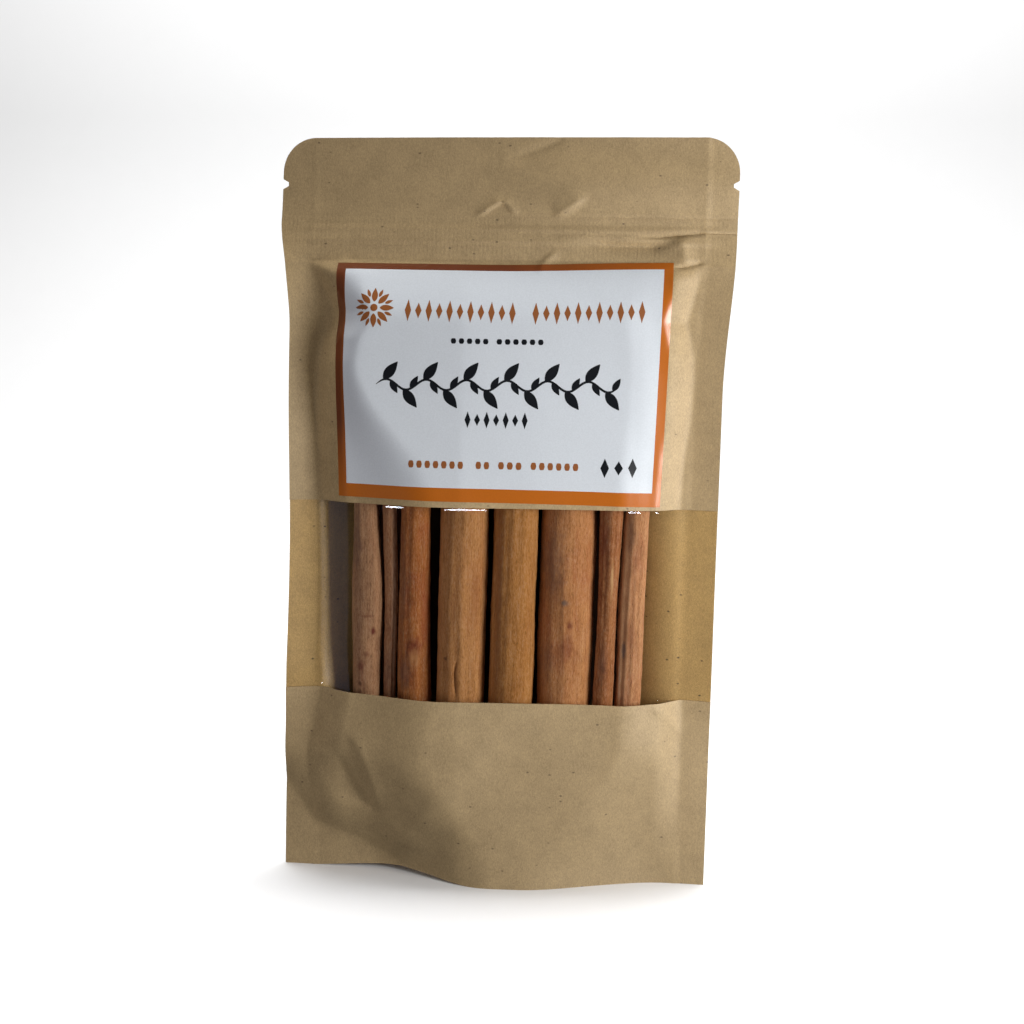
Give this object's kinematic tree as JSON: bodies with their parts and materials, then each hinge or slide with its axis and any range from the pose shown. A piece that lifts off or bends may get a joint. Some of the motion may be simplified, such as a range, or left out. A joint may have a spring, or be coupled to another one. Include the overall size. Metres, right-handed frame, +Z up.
{
  "type": "stand-up pouch of cinnamon sticks",
  "caption": "Shut stand-up kraft pouch with a clear window band over rolled cinnamon quills, a bordered paper label, a zip rib, tear notches and a folded foot.",
  "frame": {"origin": "middle of the foot, in the plane of the side seals, on the surface the pouch stands on", "axes": "+Z up along the quills, -Y out of the front with the window and label, +X to the right seen from the front"},
  "size_m": [0.12, 0.0254, 0.2],
  "materials": {
    "kraft_paper": "matte",
    "clear_film": "gloss",
    "label_paper": "gloss",
    "cinnamon_bark": "satin"
  },
  "bodies": {
    "root": {"pouch": "kraft_paper", "window_film": "clear_film", "label": "label_paper", "stick_1": "cinnamon_bark", "stick_2": "cinnamon_bark", "stick_3": "cinnamon_bark", "stick_4": "cinnamon_bark", "stick_5": "cinnamon_bark", "stick_6": "cinnamon_bark", "stick_7": "cinnamon_bark", "stick_8": "cinnamon_bark"}
  },
  "joints": []
}
